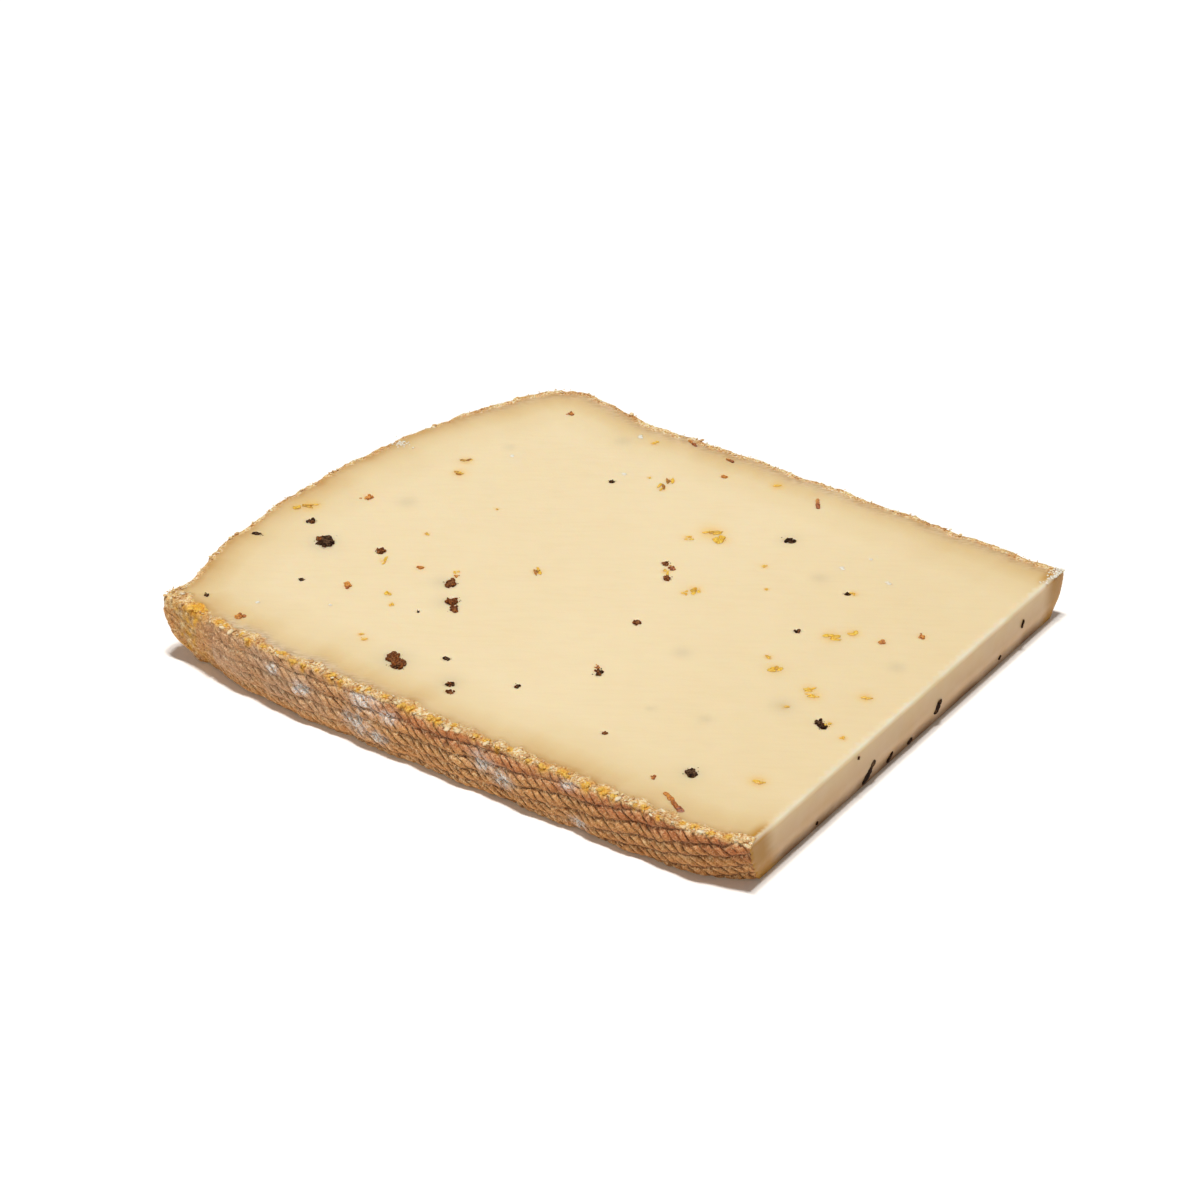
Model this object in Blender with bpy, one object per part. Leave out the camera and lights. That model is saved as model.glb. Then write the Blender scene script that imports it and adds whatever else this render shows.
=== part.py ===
"""A slab of spiced mountain cheese, cut from a tall wheel and lying on one cut face.

X runs from the wheel's outer rim (-X) to the inner cut (+X), Y across the wheel's height and
Z up, away from the surface the slab lies on. Metres, origin at the middle of the footprint.
Rind covers the front, the rim and the back. The top, the underside and the inner end are cut.
While it is built, x = 0 is where the front rind starts and y = 0 is the front rind.
"""

import math

import bmesh
import bpy
from mathutils import Vector

# Driving dimensions
LENGTH = 0.1250  # front rind, up to the inner cut
WHEEL_HEIGHT = 0.1098  # front rind to back rind
THICK_AT_RIM = 0.0129  # at x = 0
THICK_AT_CUT = 0.0099  # at x = LENGTH
CUT_LEAN = math.radians(1.0)  # the inner end opens a little towards the back
CUT_UNDERCUT = 0.0008  # how far the inner cut draws in at the underside

RIM_RADIUS = 0.156  # the outer rim swells as a shallow arc
RIM_CREST = (-0.0076, 0.0390)  # the arc's outermost point in plan
RIM_DENT = (0.0110, 0.0048, 0.0013)  # place along Y, width and depth
FRONT_CORNER_RADIUS = 0.0013
BACK_CORNER_RADIUS = 0.0125
FRONT_EASE = (  # place along X, width and depth by which the front eases back at its ends
    (-0.0040, 0.0140, 0.0030),
    (0.1280, 0.0085, 0.0026),
)
CORNER_SWELLING = (0.0035, 0.0032, 0.0010)  # place along Y, width and height on the rim
BACK_SWELLING = (0.0165, 0.0075, 0.0020)  # place along X, width and height
BACK_HOLLOW = (0.0380, 0.0090, 0.0008)  # place along X, width and depth

WALL_BELLY = 0.0004  # how far a rind wall bows out half way up
EDGE_BREAK = 0.0003  # how far the rind crumbles back at its two cut edges
WALL_UNDERCUT = 0.0010  # how far the rim and the back draw in towards the underside
FRONT_UNDERCUT = 0.0005  # how far the front draws in just above the underside
FRONT_REACH = 0.008  # how far in plan that goes round the corners
CUT_BLEND = 0.006  # how far in plan the rind takes part in the inner cut's drawing in
CORNER_UNDERCUTS = (  # place in plan, reach, depth along X and Y, and where below the top it acts
    ((-0.0030, 0.0030), 0.0090, (0.0038, 0.0), (0.18, 1.0)),
    ((-0.0030, 0.0020), 0.0065, (0.0020, 0.0008), (0.55, 1.0)),
    ((0.0090, 0.0), 0.0120, (0.0, 0.0013), (0.10, 1.0)),
    ((0.1260, 0.0), 0.0100, (0.0, 0.0034), (0.10, 1.1)),
    ((0.1270, WHEEL_HEIGHT), 0.0200, (0.0, -0.0016), (0.0, 0.8)),
)
RIND_WAVES = (  # length, height and phase of the rind's slow waves
    (0.0173, 0.00022, 0.3),
    (0.0071, 0.00014, 1.9),
)

COLUMN_SPACING = 0.0016
WALL_LEVELS = (0.0, 0.06, 0.22, 0.40, 0.58, 0.76, 0.94, 1.0)  # parts of the local thickness

NAME = "cheese_wedge"


def bell(distance, width):
    return math.exp(-((distance / width) ** 2))


def smooth(value, low, high):
    """0 at low and 1 at high with an even slope between; low may be the larger."""
    share = min(1.0, max(0.0, (value - low) / (high - low)))
    return share * share * (3 - 2 * share)


def rim_x(y):
    """The rim's arc, with a dent behind the front corner and a swelling at it."""
    crest_x, crest_y = RIM_CREST
    place, width, depth = RIM_DENT
    corner, corner_width, height = CORNER_SWELLING
    arc = crest_x + RIM_RADIUS - math.sqrt(RIM_RADIUS**2 - (y - crest_y) ** 2)
    return arc + depth * bell(y - place, width) - height * bell(y - corner, corner_width)


def front_y(x):
    """The front rind: straight, and easing back at both ends."""
    return sum(depth * bell(x - place, width) for place, width, depth in FRONT_EASE)


def cut_x(y):
    """The inner cut, slightly off square."""
    return LENGTH + y * math.tan(CUT_LEAN)


def back_y(x):
    """The back rind: a swelling at its rounded corner and a hollow beside it."""
    place, width, height = BACK_SWELLING
    hollow, hollow_width, depth = BACK_HOLLOW
    swelling = height * bell(x - place, width)
    return WHEEL_HEIGHT + swelling - depth * bell(x - hollow, hollow_width)


def thickness(x):
    return THICK_AT_RIM + (THICK_AT_CUT - THICK_AT_RIM) * x / LENGTH


def stretch(start, end):
    """Points from start towards end, without the end, at about COLUMN_SPACING."""
    start, end = Vector(start), Vector(end)
    count = max(1, round((end - start).length / COLUMN_SPACING))
    return [start.lerp(end, i / count) for i in range(count)]


def rounded(corner, first_way, last_way, radius):
    """Points of the arc that rounds a corner, from the side along first_way to last_way."""
    first, last = first_way.normalized(), last_way.normalized()
    half = first.angle(last) / 2
    centre = corner + (first + last).normalized() * (radius / math.sin(half))
    start = corner + first * (radius / math.tan(half)) - centre
    sweep = math.pi - 2 * half
    count = max(3, round(radius * sweep / COLUMN_SPACING))
    start_angle = math.atan2(start.y, start.x)
    angles = [start_angle + sweep * i / count for i in range(count + 1)]
    return [centre + radius * Vector((math.cos(a), math.sin(a))) for a in angles]


def rind_columns():
    """The rind in plan, counter-clockwise from the back of the inner cut to its front."""
    corner_y = front_y(RIM_CREST[0])
    rim_top, rim_end = rim_x(WHEEL_HEIGHT), rim_x(corner_y)
    back_corner = rounded(
        Vector((rim_top, WHEEL_HEIGHT)),
        Vector((1, 0)),
        Vector((rim_x(0.085) - rim_top, 0.085 - WHEEL_HEIGHT)),
        BACK_CORNER_RADIUS,
    )
    front_corner = rounded(
        Vector((rim_end, corner_y)),
        Vector((rim_x(corner_y + 0.02) - rim_end, 0.02)),
        Vector((1, 0)),
        FRONT_CORNER_RADIUS,
    )
    back = stretch((cut_x(WHEEL_HEIGHT), WHEEL_HEIGHT), back_corner[0])
    raised = [Vector((p.x, p.y + back_y(p.x) - WHEEL_HEIGHT)) for p in back + back_corner]
    rim = stretch(back_corner[-1], front_corner[0])[1:]
    front_end = Vector((cut_x(front_y(LENGTH)), 0.0))
    front = stretch(front_corner[-1], front_end) + [front_end]
    curved_rim = [Vector((rim_x(p.y), p.y)) for p in rim]
    eased_front = [Vector((p.x, front_y(p.x))) for p in front]
    return raised + curved_rim + front_corner[:-1] + eased_front


def outward(points):
    """The outward direction in plan at each rind column; the two ends face along Y."""
    ways = []
    for before, after in zip(points, points[2:]):
        along = after - before
        ways.append(Vector((along.y, -along.x)).normalized())
    return [Vector((0, 1))] + ways + [Vector((0, -1))]


def cut_undercut(level):
    """How far the inner cut draws in at a part of its height."""
    return CUT_UNDERCUT * smooth(1 - level, 0.5, 1.0)


def undercut(point, way, level):
    """The shift in plan by which the rind draws in or stands out towards the underside."""
    below = 1 - level
    shift = -way * (WALL_UNDERCUT * min(1.0, max(0.0, way.y - way.x)) * below)
    for (x, y), reach, depths, (start, end) in CORNER_UNDERCUTS:
        near = bell(point.x - x, reach) * bell(point.y - y, reach)
        shift += Vector(depths) * (near * smooth(below, start, end))
    shift.y += FRONT_UNDERCUT * bell(point.y, FRONT_REACH) * smooth(below, 0.6, 1.0)
    shift.x -= cut_undercut(level) * smooth(cut_x(point.y) - point.x, CUT_BLEND, 0.0)
    return shift


def wall_offset(run, level):
    """How far the rind stands out of the plan at a part of its height."""
    belly = WALL_BELLY * math.sin(math.pi * level)
    broken = EDGE_BREAK * max(0.0, abs(2 * level - 1) * 8 - 7)
    waves = 0.0
    for length, height, phase in RIND_WAVES:
        waves += height * math.sin(2 * math.pi * run / length + phase + 2.1 * level)
    return belly - broken + waves


def level_outline(points, ways, level):
    """The whole outline at a part of the height: the rind, then the inner cut."""
    outline = []
    run = 0.0
    for i, (point, way) in enumerate(zip(points, ways)):
        run += (point - points[i - 1]).length if i else 0.0
        outline.append(point + way * wall_offset(run, level) + undercut(point, way, level))
    back, front = outline[0].y, outline[-1].y
    count = round(WHEEL_HEIGHT / COLUMN_SPACING)
    for i in range(count + 1):
        y = front + (back - front) * i / count
        cut = Vector((cut_x(y) - cut_undercut(level), y))
        if i in (0, count):
            outline[-1 if i == 0 else 0] = cut
        else:
            outline.append(cut)
    return outline


def build_wedge():
    """One closed body: the underside's outline extruded level by level up to the top cut."""
    points = rind_columns()
    ways = outward(points)
    outlines = [level_outline(points, ways, level) for level in WALL_LEVELS]

    bm = bmesh.new()
    top = bm.faces.new([bm.verts.new((*point, 0.0)) for point in outlines[0]])
    inner_faces = []
    for level, outline in zip(WALL_LEVELS[1:], outlines[1:]):
        made = bmesh.ops.extrude_face_region(bm, geom=[top])["geom"]
        top = next(item for item in made if isinstance(item, bmesh.types.BMFace))
        inner_faces.append(top)
        for vertex, point in zip(top.verts, outline):
            vertex.co = (*point, level * thickness(point.x))
    bmesh.ops.delete(bm, geom=inner_faces[:-1], context="FACES_ONLY")
    bmesh.ops.recalc_face_normals(bm, faces=bm.faces)
    return bm


def centre_footprint(mesh):
    """Moves the mesh so that the middle of its footprint is the origin."""
    xs = [vertex.co.x for vertex in mesh.vertices]
    ys = [vertex.co.y for vertex in mesh.vertices]
    middle = Vector(((min(xs) + max(xs)) / 2, (min(ys) + max(ys)) / 2, 0.0))
    for vertex in mesh.vertices:
        vertex.co -= middle


def cheese_material():
    material = bpy.data.materials.new("cheese")
    material.use_nodes = True
    shader = material.node_tree.nodes["Principled BSDF"]
    shader.inputs["Base Color"].default_value = (0.86, 0.70, 0.43, 1.0)
    shader.inputs["Roughness"].default_value = 0.45
    shader.inputs["Metallic"].default_value = 0.0
    return material


def main():
    for old in list(bpy.data.objects):
        bpy.data.objects.remove(old, do_unlink=True)
    collection = bpy.data.collections.new(NAME)
    bpy.context.scene.collection.children.link(collection)

    mesh = bpy.data.meshes.new(NAME)
    bm = build_wedge()
    bm.to_mesh(mesh)
    bm.free()
    centre_footprint(mesh)
    mesh.shade_smooth()
    mesh.set_sharp_from_angle(angle=math.radians(35))
    mesh.materials.append(cheese_material())
    collection.objects.link(bpy.data.objects.new(NAME, mesh))


main()
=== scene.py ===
"""Looks for a slab of spiced mountain cheese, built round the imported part.

Lengths are in millimetres and positions in the slab's plan while things are made: x runs from
the start of the front rind to the inner cut, y from the front rind to the back rind, z up from
the underside. Only the last step turns them into metres in the row's frame.
"""

import math

import bmesh
import bpy
import numpy as np
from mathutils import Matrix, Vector
from mathutils.geometry import delaunay_2d_cdt
from mathutils.kdtree import KDTree


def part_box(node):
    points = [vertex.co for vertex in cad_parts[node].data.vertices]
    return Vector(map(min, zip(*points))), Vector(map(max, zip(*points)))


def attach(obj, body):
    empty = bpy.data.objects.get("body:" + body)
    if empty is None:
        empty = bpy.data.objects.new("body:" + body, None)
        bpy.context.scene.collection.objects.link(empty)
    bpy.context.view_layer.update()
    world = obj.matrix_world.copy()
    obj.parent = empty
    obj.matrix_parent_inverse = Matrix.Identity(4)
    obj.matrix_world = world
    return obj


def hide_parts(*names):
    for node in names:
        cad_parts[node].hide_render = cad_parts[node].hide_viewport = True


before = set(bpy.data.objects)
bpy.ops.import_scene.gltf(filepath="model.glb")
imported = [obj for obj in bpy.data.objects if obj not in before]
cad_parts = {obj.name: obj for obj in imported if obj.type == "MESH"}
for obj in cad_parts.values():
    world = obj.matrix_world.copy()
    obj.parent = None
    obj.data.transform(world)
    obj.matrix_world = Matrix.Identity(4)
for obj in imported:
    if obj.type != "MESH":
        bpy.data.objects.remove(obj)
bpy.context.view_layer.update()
NODE = "cheese_wedge"
MM = 0.001

# The slab's shape, with the same sizes as the CAD part
LENGTH = 125.0
WHEEL_HEIGHT = 109.8
THICK_AT_RIM = 12.9
THICK_AT_CUT = 9.9
CUT_SLOPE = math.tan(math.radians(1.0))
CUT_UNDERCUT = 0.8
RIM_RADIUS = 156.0
RIM_CREST = (-7.6, 39.0)
RIM_DENT = (11.0, 4.8, 1.3)
FRONT_CORNER_RADIUS = 1.3
BACK_CORNER_RADIUS = 12.5
FRONT_EASE = ((-4.0, 14.0, 3.0), (128.0, 8.5, 2.6))
CORNER_SWELLING = (3.5, 3.2, 1.0)
BACK_SWELLING = (16.5, 7.5, 2.0)
BACK_HOLLOW = (38.0, 9.0, 0.8)
WALL_BELLY = 0.4
EDGE_BREAK = 0.3
WALL_UNDERCUT = 1.0
FRONT_UNDERCUT = 0.5
CORNER_UNDERCUTS = (  # place in plan, reach, depth along X and Y, and where it starts and ends
    ((-3.0, 3.0), 9.0, (3.8, 0.0), (0.18, 1.0)),
    ((-3.0, 2.0), 6.5, (2.0, 0.8), (0.55, 1.0)),
    ((9.0, 0.0), 12.0, (0.0, 1.3), (0.10, 1.0)),
    ((126.0, 0.0), 10.0, (0.0, 3.4), (0.10, 1.1)),
    ((127.0, WHEEL_HEIGHT), 20.0, (0.0, -1.6), (0.0, 0.8)),
)
RIND_WAVES = ((17.3, 0.22, 0.3), (7.1, 0.14, 1.9))

WRINKLE_TURN = math.radians(25.0)  # how the front rind's wrinkles slope down towards +X
GRAIN = math.radians(34.0)  # the way the wire drew its streaks across the top cut

# How finely the surface is built
FRONT_STEP = 0.20
REST_STEP = 0.50
CUT_STEP = 1.0
WALL_ROWS = 46


# ---------------------------------------------------------------- small helpers


def bell(distance, width):
    return np.exp(-((distance / width) ** 2))


def ramp(value, low, high):
    """0 below low and 1 above high, smooth between; low may be the larger."""
    t = np.clip((value - low) / (high - low), 0.0, 1.0)
    return t * t * (3 - 2 * t)


def lattice(ix, iy, iz, seed):
    """A fixed pseudo-random value in -1..1 for each integer place."""
    h = (ix * 374761393 + iy * 668265263 + iz * 1274126177 + seed * 1013904223) & 0xFFFFFFFF
    h = ((h ^ (h >> 13)) * 1103515245) & 0xFFFFFFFF
    h = ((h ^ (h >> 16)) * 2246822519) & 0xFFFFFFFF
    return ((h ^ (h >> 15)) & 0xFFFFFF) / float(0x7FFFFF) - 1.0


def noise(points, cell, seed, octaves=1):
    """Smooth noise in about -1..1 at points (n, 3), with features of about this size."""
    total = np.zeros(len(points))
    weight, size, reach = 1.0, cell, 0.0
    for octave in range(octaves):
        scaled = points / size + 137.31 * octave
        base = np.floor(scaled).astype(np.int64)
        part = scaled - base
        part = part * part * (3 - 2 * part)
        value = 0.0
        for dx in (0, 1):
            wx = part[:, 0] if dx else 1 - part[:, 0]
            for dy in (0, 1):
                wy = part[:, 1] if dy else 1 - part[:, 1]
                for dz in (0, 1):
                    wz = part[:, 2] if dz else 1 - part[:, 2]
                    corner = lattice(
                        base[:, 0] + dx, base[:, 1] + dy, base[:, 2] + dz, seed + octave
                    )
                    value = value + wx * wy * wz * corner
        total += weight * value
        reach += weight
        weight *= 0.5
        size *= 0.5
    return total / reach


def ridges(points, cell, seed, octaves=1):
    """Noise with sharp creases: 1 on the crests and down to 0 in the creases."""
    return np.abs(noise(points, cell, seed, octaves)) * 2.0


def turned(x, y, angle):
    """x and y seen from axes turned by this angle."""
    c, s = math.cos(angle), math.sin(angle)
    return x * c + y * s, y * c - x * s


# ---------------------------------------------------------------- the plan


def rim_x(y):
    crest_x, crest_y = RIM_CREST
    place, width, depth = RIM_DENT
    arc = crest_x + RIM_RADIUS - np.sqrt(RIM_RADIUS**2 - (y - crest_y) ** 2)
    corner, corner_width, height = CORNER_SWELLING
    return arc + depth * bell(y - place, width) - height * bell(y - corner, corner_width)


def front_y(x):
    """The front rind in plan: straight, and easing back at both ends."""
    return sum(depth * bell(x - place, width) for place, width, depth in FRONT_EASE)


def at_front(x, y):
    """1 on the front rind and beside it, down to 0 on the rim and the back."""
    return ramp(y - front_y(x), 6.0, 1.0)


def cut_x(y):
    return LENGTH + y * CUT_SLOPE


def back_rise(x):
    """How far the back rind stands behind the wheel's height."""
    place, width, height = BACK_SWELLING
    hollow, hollow_width, depth = BACK_HOLLOW
    return height * bell(x - place, width) - depth * bell(x - hollow, hollow_width)


def thickness(x):
    return THICK_AT_RIM + (THICK_AT_CUT - THICK_AT_RIM) * x / LENGTH


def rounded(corner, first_way, last_way, radius):
    """The arc that rounds a corner, from the side along first_way to last_way."""
    first, last = Vector(first_way).normalized(), Vector(last_way).normalized()
    corner = Vector(corner)
    half = first.angle(last) / 2
    centre = corner + (first + last).normalized() * (radius / math.sin(half))
    start = corner + first * (radius / math.tan(half)) - centre
    angles = math.atan2(start.y, start.x) + np.linspace(0, math.pi - 2 * half, 200)
    return np.array(centre) + radius * np.stack([np.cos(angles), np.sin(angles)], 1)


def rind_line():
    """The rind in plan as a fine line, from the back of the inner cut round to its front."""
    corner_y = front_y(RIM_CREST[0])
    rim_top, rim_end = rim_x(WHEEL_HEIGHT), rim_x(corner_y)
    back_corner = rounded(
        (rim_top, WHEEL_HEIGHT),
        (1, 0),
        (rim_x(85.0) - rim_top, 85.0 - WHEEL_HEIGHT),
        BACK_CORNER_RADIUS,
    )
    along_rim = (rim_x(corner_y + 20.0) - rim_end, 20.0)
    front_corner = rounded((rim_end, corner_y), along_rim, (1, 0), FRONT_CORNER_RADIUS)
    back_x = np.linspace(cut_x(WHEEL_HEIGHT), back_corner[0, 0], 2200)[:-1]
    back = np.stack([back_x, np.full_like(back_x, WHEEL_HEIGHT)], 1)
    back = np.concatenate([back, back_corner])
    back[:, 1] += back_rise(back[:, 0])
    rim_y = np.linspace(back_corner[-1, 1], front_corner[0, 1], 2200)[1:-1]
    rim = np.stack([rim_x(rim_y), rim_y], 1)
    front_x = np.linspace(front_corner[-1, 0], cut_x(front_y(LENGTH)), 2200)[1:]
    front = np.stack([front_x, front_y(front_x)], 1)
    return np.concatenate([back, rim, front_corner, front])


def rind_columns():
    """Where the rind's columns stand: plan points, outward ways and runs along the rind."""
    line = rind_line()
    steps = np.linalg.norm(np.diff(line, axis=0), axis=1)
    run = np.concatenate([[0.0], np.cumsum(steps)])
    wanted = np.where(line[1:, 1] < 4.5, FRONT_STEP, REST_STEP)
    density = np.concatenate([[0.0], np.cumsum(steps / wanted)])
    count = int(round(density[-1])) + 1
    places = np.interp(np.linspace(0, density[-1], count), density, run)
    points = np.stack([np.interp(places, run, line[:, k]) for k in (0, 1)], 1)
    ahead = np.stack([np.interp(places + 0.8, run, line[:, k]) for k in (0, 1)], 1)
    behind = np.stack([np.interp(places - 0.8, run, line[:, k]) for k in (0, 1)], 1)
    along = ahead - behind
    ways = np.stack([along[:, 1], -along[:, 0]], 1)
    ways /= np.linalg.norm(ways, axis=1)[:, None]
    ways[0], ways[-1] = (0, 1), (0, -1)
    return points, ways, places


def cut_undercut(level):
    """How far the inner cut draws in at a part of its height."""
    return CUT_UNDERCUT * ramp(1 - level, 0.5, 1.0)


def undercut(points, ways, level):
    """The shift in plan by which the wall draws in, most at the underside."""
    below = 1 - level
    facing = np.clip(ways[..., 1] - ways[..., 0], 0.0, 1.0)
    shift = -ways * (WALL_UNDERCUT * facing * below)[..., None]
    for (x, y), reach, depths, (start, end) in CORNER_UNDERCUTS:
        near = bell(points[..., 0] - x, reach) * bell(points[..., 1] - y, reach)
        shift = shift + np.array(depths) * (near * ramp(below, start, end))[..., None]
    shift[..., 1] += FRONT_UNDERCUT * bell(points[..., 1], 8.0) * ramp(below, 0.6, 1.0)
    near_cut = ramp(cut_x(points[..., 1]) - points[..., 0], 6.0, 0.0)
    shift[..., 0] -= cut_undercut(level) * near_cut
    return shift


def wall_base(points, ways, run):
    """The smooth wall in plan as a grid (column, row, 2), as in the CAD part."""
    level = np.linspace(0, 1, WALL_ROWS)[None, :]
    grid_points = np.repeat(points[:, None, :], WALL_ROWS, 1)
    grid_ways = np.repeat(ways[:, None, :], WALL_ROWS, 1)
    belly = WALL_BELLY * np.sin(math.pi * level)
    broken = EDGE_BREAK * np.clip(np.abs(2 * level - 1) * 8 - 7, 0.0, None)
    waves = 0.0
    for length, height, phase in RIND_WAVES:
        waves = waves + height * np.sin(
            2 * math.pi * run[:, None] / length + phase + 2.1 * level
        )
    offset = belly - broken + waves
    base = grid_points + grid_ways * offset[..., None] + undercut(grid_points, grid_ways, level)
    return base, level


# ---------------------------------------------------------------- what lies in the paste

# Bits that show on the top cut: x, y, and size along and across the grain
PEPPER = (
    (42.3, 11.9, 2.6, 3.1),
    (44.5, 10.7, 2.7, 3.3),
    (8.7, 35.4, 2.9, 4.2),
    (36.3, 37.6, 2.2, 2.9),
    (40.0, 33.0, 2.4, 2.7),
    (41.9, 31.2, 1.5, 2.6),
    (18.9, 39.0, 1.8, 2.1),
    (1.6, 39.6, 2.0, 1.7),
    (-3.9, 30.0, 1.9, 0.9),
    (2.1, 7.9, 0.9, 1.1),
    (39.9, 85.8, 1.3, 1.1),
    (79.5, 88.0, 2.4, 1.7),
    (98.0, 78.6, 1.2, 1.1),
    (115.5, 39.9, 1.5, 1.9),
    (105.5, 13.9, 2.1, 2.6),
    (97.1, 62.3, 1.5, 1.1),
    (37.0, 26.6, 0.6, 0.7),
    (86.6, 15.0, 1.1, 1.0),
    (64.8, 67.2, 1.5, 1.7),
    (67.9, 63.1, 1.5, 1.9),
    (71.7, 47.4, 1.5, 1.9),
    (75.1, 29.8, 1.6, 2.3),
    (55.8, 11.0, 2.0, 1.4),
    (57.2, 9.2, 1.8, 1.3),
    (50.4, 17.2, 1.5, 1.2),
    (12.9, 22.4, 0.9, 1.0),
    (65.9, 17.6, 1.0, 1.3),
    (116.7, 39.2, 1.5, 1.8),
    (7.1, 35.6, 1.6, 2.2),
)
BROWN_PEPPER = {  # how brown some of them are, from black at 0 to red-brown at 1
    0: 1.0, 1: 0.7, 2: 0.15, 3: 0.8, 4: 0.85, 5: 0.9, 6: 0.95, 7: 0.5,
    15: 0.5, 17: 0.7, 18: 0.8, 19: 0.85, 20: 0.6, 21: 0.5, 22: 0.6, 23: 0.6, 28: 1.0,
}
CHILLI = (
    (5.2, 52.9, 1.8, 2.0),
    (21.3, 25.8, 1.5, 2.0),
    (18.4, 102.6, 1.3, 1.5),
    (56.7, 100.4, 1.3, 1.3),
    (116.6, 74.2, 1.5, 1.4),
    (111.5, 68.4, 1.6, 1.5),
    (100.9, 9.0, 0.9, 1.3),
    (11.6, 5.9, 1.9, 1.8),
    (66.8, 66.4, 1.6, 1.6),
    (35.6, 40.3, 0.9, 1.0),
    (28.4, 38.7, 1.6, 1.1),
    (74.1, 31.0, 1.0, 1.2),
)
STICKS = (  # start and end in plan, and width
    ((104.9, 6.5), (110.5, 3.5), 1.2),
    ((75.9, 104.0), (77.8, 101.1), 0.9),
    ((43.4, 107.9), (45.9, 106.8), 0.6),
    ((53.4, 106.2), (55.2, 106.1), 0.7),
)
SEEDS = (
    (34.6, 13.4, 1.1, 0.8),
    (33.2, 14.2, 0.9, 0.6),
    (-3.6, 41.8, 1.5, 1.7),
    (-1.8, 43.8, 2.6, 1.2),
    (22.3, 48.9, 0.9, 1.3),
    (21.4, 36.4, 1.0, 2.2),
    (29.1, 27.9, 1.0, 1.6),
    (31.7, 25.4, 0.9, 1.2),
    (34.9, 41.4, 0.9, 0.9),
    (47.0, 50.5, 1.4, 2.6),
    (66.0, 81.4, 3.4, 1.3),
    (68.6, 80.4, 2.4, 2.4),
    (63.4, 77.2, 1.5, 1.2),
    (74.4, 62.8, 1.8, 2.1),
    (73.3, 60.8, 1.1, 1.3),
    (67.1, 103.5, 1.7, 0.9),
    (38.5, 103.0, 1.1, 1.0),
    (80.5, 77.3, 1.1, 0.8),
    (85.1, 70.8, 0.7, 0.9),
    (103.2, 64.3, 2.4, 1.9),
    (105.9, 67.6, 1.8, 1.7),
    (100.4, 49.4, 2.0, 1.8),
    (97.4, 51.9, 1.1, 1.0),
    (108.9, 47.4, 1.9, 1.2),
    (110.4, 46.2, 1.9, 1.0),
    (108.1, 40.4, 1.1, 0.9),
    (118.3, 51.2, 1.9, 1.0),
    (121.5, 38.2, 1.1, 0.9),
    (116.2, 18.5, 2.2, 1.1),
    (99.0, 79.1, 1.2, 1.0),
    (117.1, 40.2, 1.2, 1.2),
    (27.9, 64.1, 0.7, 0.8),
    (45.1, 91.2, 0.6, 0.7),
    (12.4, 75.0, 1.8, 1.7),
    (14.0, 70.6, 2.0, 1.5),
    (49.0, 92.6, 1.4, 2.4),
    (49.3, 89.4, 1.2, 2.6),
    (66.6, 64.6, 1.1, 1.6),
)
ORANGE_SEEDS = (9, 33, 34, 35, 36)
PALE = (
    (11.3, 11.3, 0.9, 0.8),
    (22.7, 18.9, 0.7, 0.9),
    (18.3, 81.9, 1.2, 0.9),
    (35.0, 103.3, 1.2, 0.9),
    (93.0, 85.4, 1.5, 0.8),
    (95.4, 91.2, 0.7, 0.7),
    (102.5, 86.1, 1.5, 0.6),
    (40.2, 89.5, 1.0, 0.8),
)
SUNK = (  # bits under the surface that only show as a grey-green shade: x, y, radius
    (12.3, 55.9, 1.9),
    (16.3, 84.4, 1.0),
    (33.0, 99.8, 1.7),
    (91.0, 80.0, 1.6),
    (83.9, 43.9, 1.8),
    (98.7, 28.8, 1.2),
    (107.6, 40.4, 2.3),
    (117.9, 62.8, 1.5),
    (34.9, 37.0, 2.2),
    (39.4, 32.0, 2.2),
    (89.2, 25.9, 0.8),
    (8.6, 34.6, 3.2),
    (43.0, 11.4, 3.2),
    (55.5, 11.4, 2.2),
    (79.3, 88.0, 2.0),
    (105.6, 13.6, 2.0),
)
ON_CUT = (  # bits on the inner cut: Y and Z of the low end and the high end, and width
    (40.3, 1.0, 41.9, 4.1, 2.1),
    (64.0, 3.2, 64.5, 4.6, 2.0),
    (48.2, 0.9, 49.0, 2.1, 1.0),
    (55.4, 0.7, 56.0, 1.1, 1.0),
    (24.4, 1.1, 24.6, 1.3, 0.5),
    (36.4, 8.2, 36.6, 8.6, 0.35),
    (94.3, 5.2, 94.8, 6.4, 0.5),
    (87.2, 1.7, 87.4, 2.3, 0.5),
)


def bit_discs():
    """Where the top cut dips round a bit: x, y, size along and across the grain, and depth."""
    discs = [(*bit, 0.26) for bit in PEPPER]
    discs += [(*bit, 0.14) for bit in CHILLI]
    discs += [(*bit, 0.05) for bit in SEEDS]
    for (x0, y0), (x1, y1), width in STICKS:
        for share in np.linspace(0.1, 0.9, 5):
            x, y = x0 + (x1 - x0) * share, y0 + (y1 - y0) * share
            discs.append((x, y, width, width, 0.12))
    return discs


# ---------------------------------------------------------------- the rind's relief

ROW_PITCH = 2.55  # height of one row of the cloth's imprint
ROW_CLIMB = 0.04
ROW_BEND = 0.0021
ROW_START = 0.35
CELL_PITCH = 2.25  # length of one cell along a row
CELL_SLANT = 1.1
ROW_OFFSET = 0.618  # how far each row's cells are shifted from the row's below, in cells
GROOVE_DEPTH = 0.55
FOLD_X = 8.6
ROW_SPAN, CELL_SPAN = 80.0, 200.0  # rows and cells are stored as shares of these

BLOOM = (  # mould on the front rind: x, z and size
    (45.0, 9.9, 2.7),
    (50.0, 8.6, 1.7),
    (43.0, 4.6, 2.7),
    (48.0, 3.4, 1.7),
    (71.0, 7.2, 2.1),
    (75.5, 5.2, 2.0),
    (89.0, 9.6, 1.4),
    (91.0, 2.0, 1.6),
    (30.5, 7.4, 1.6),
    (24.0, 9.0, 1.3),
)


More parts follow.
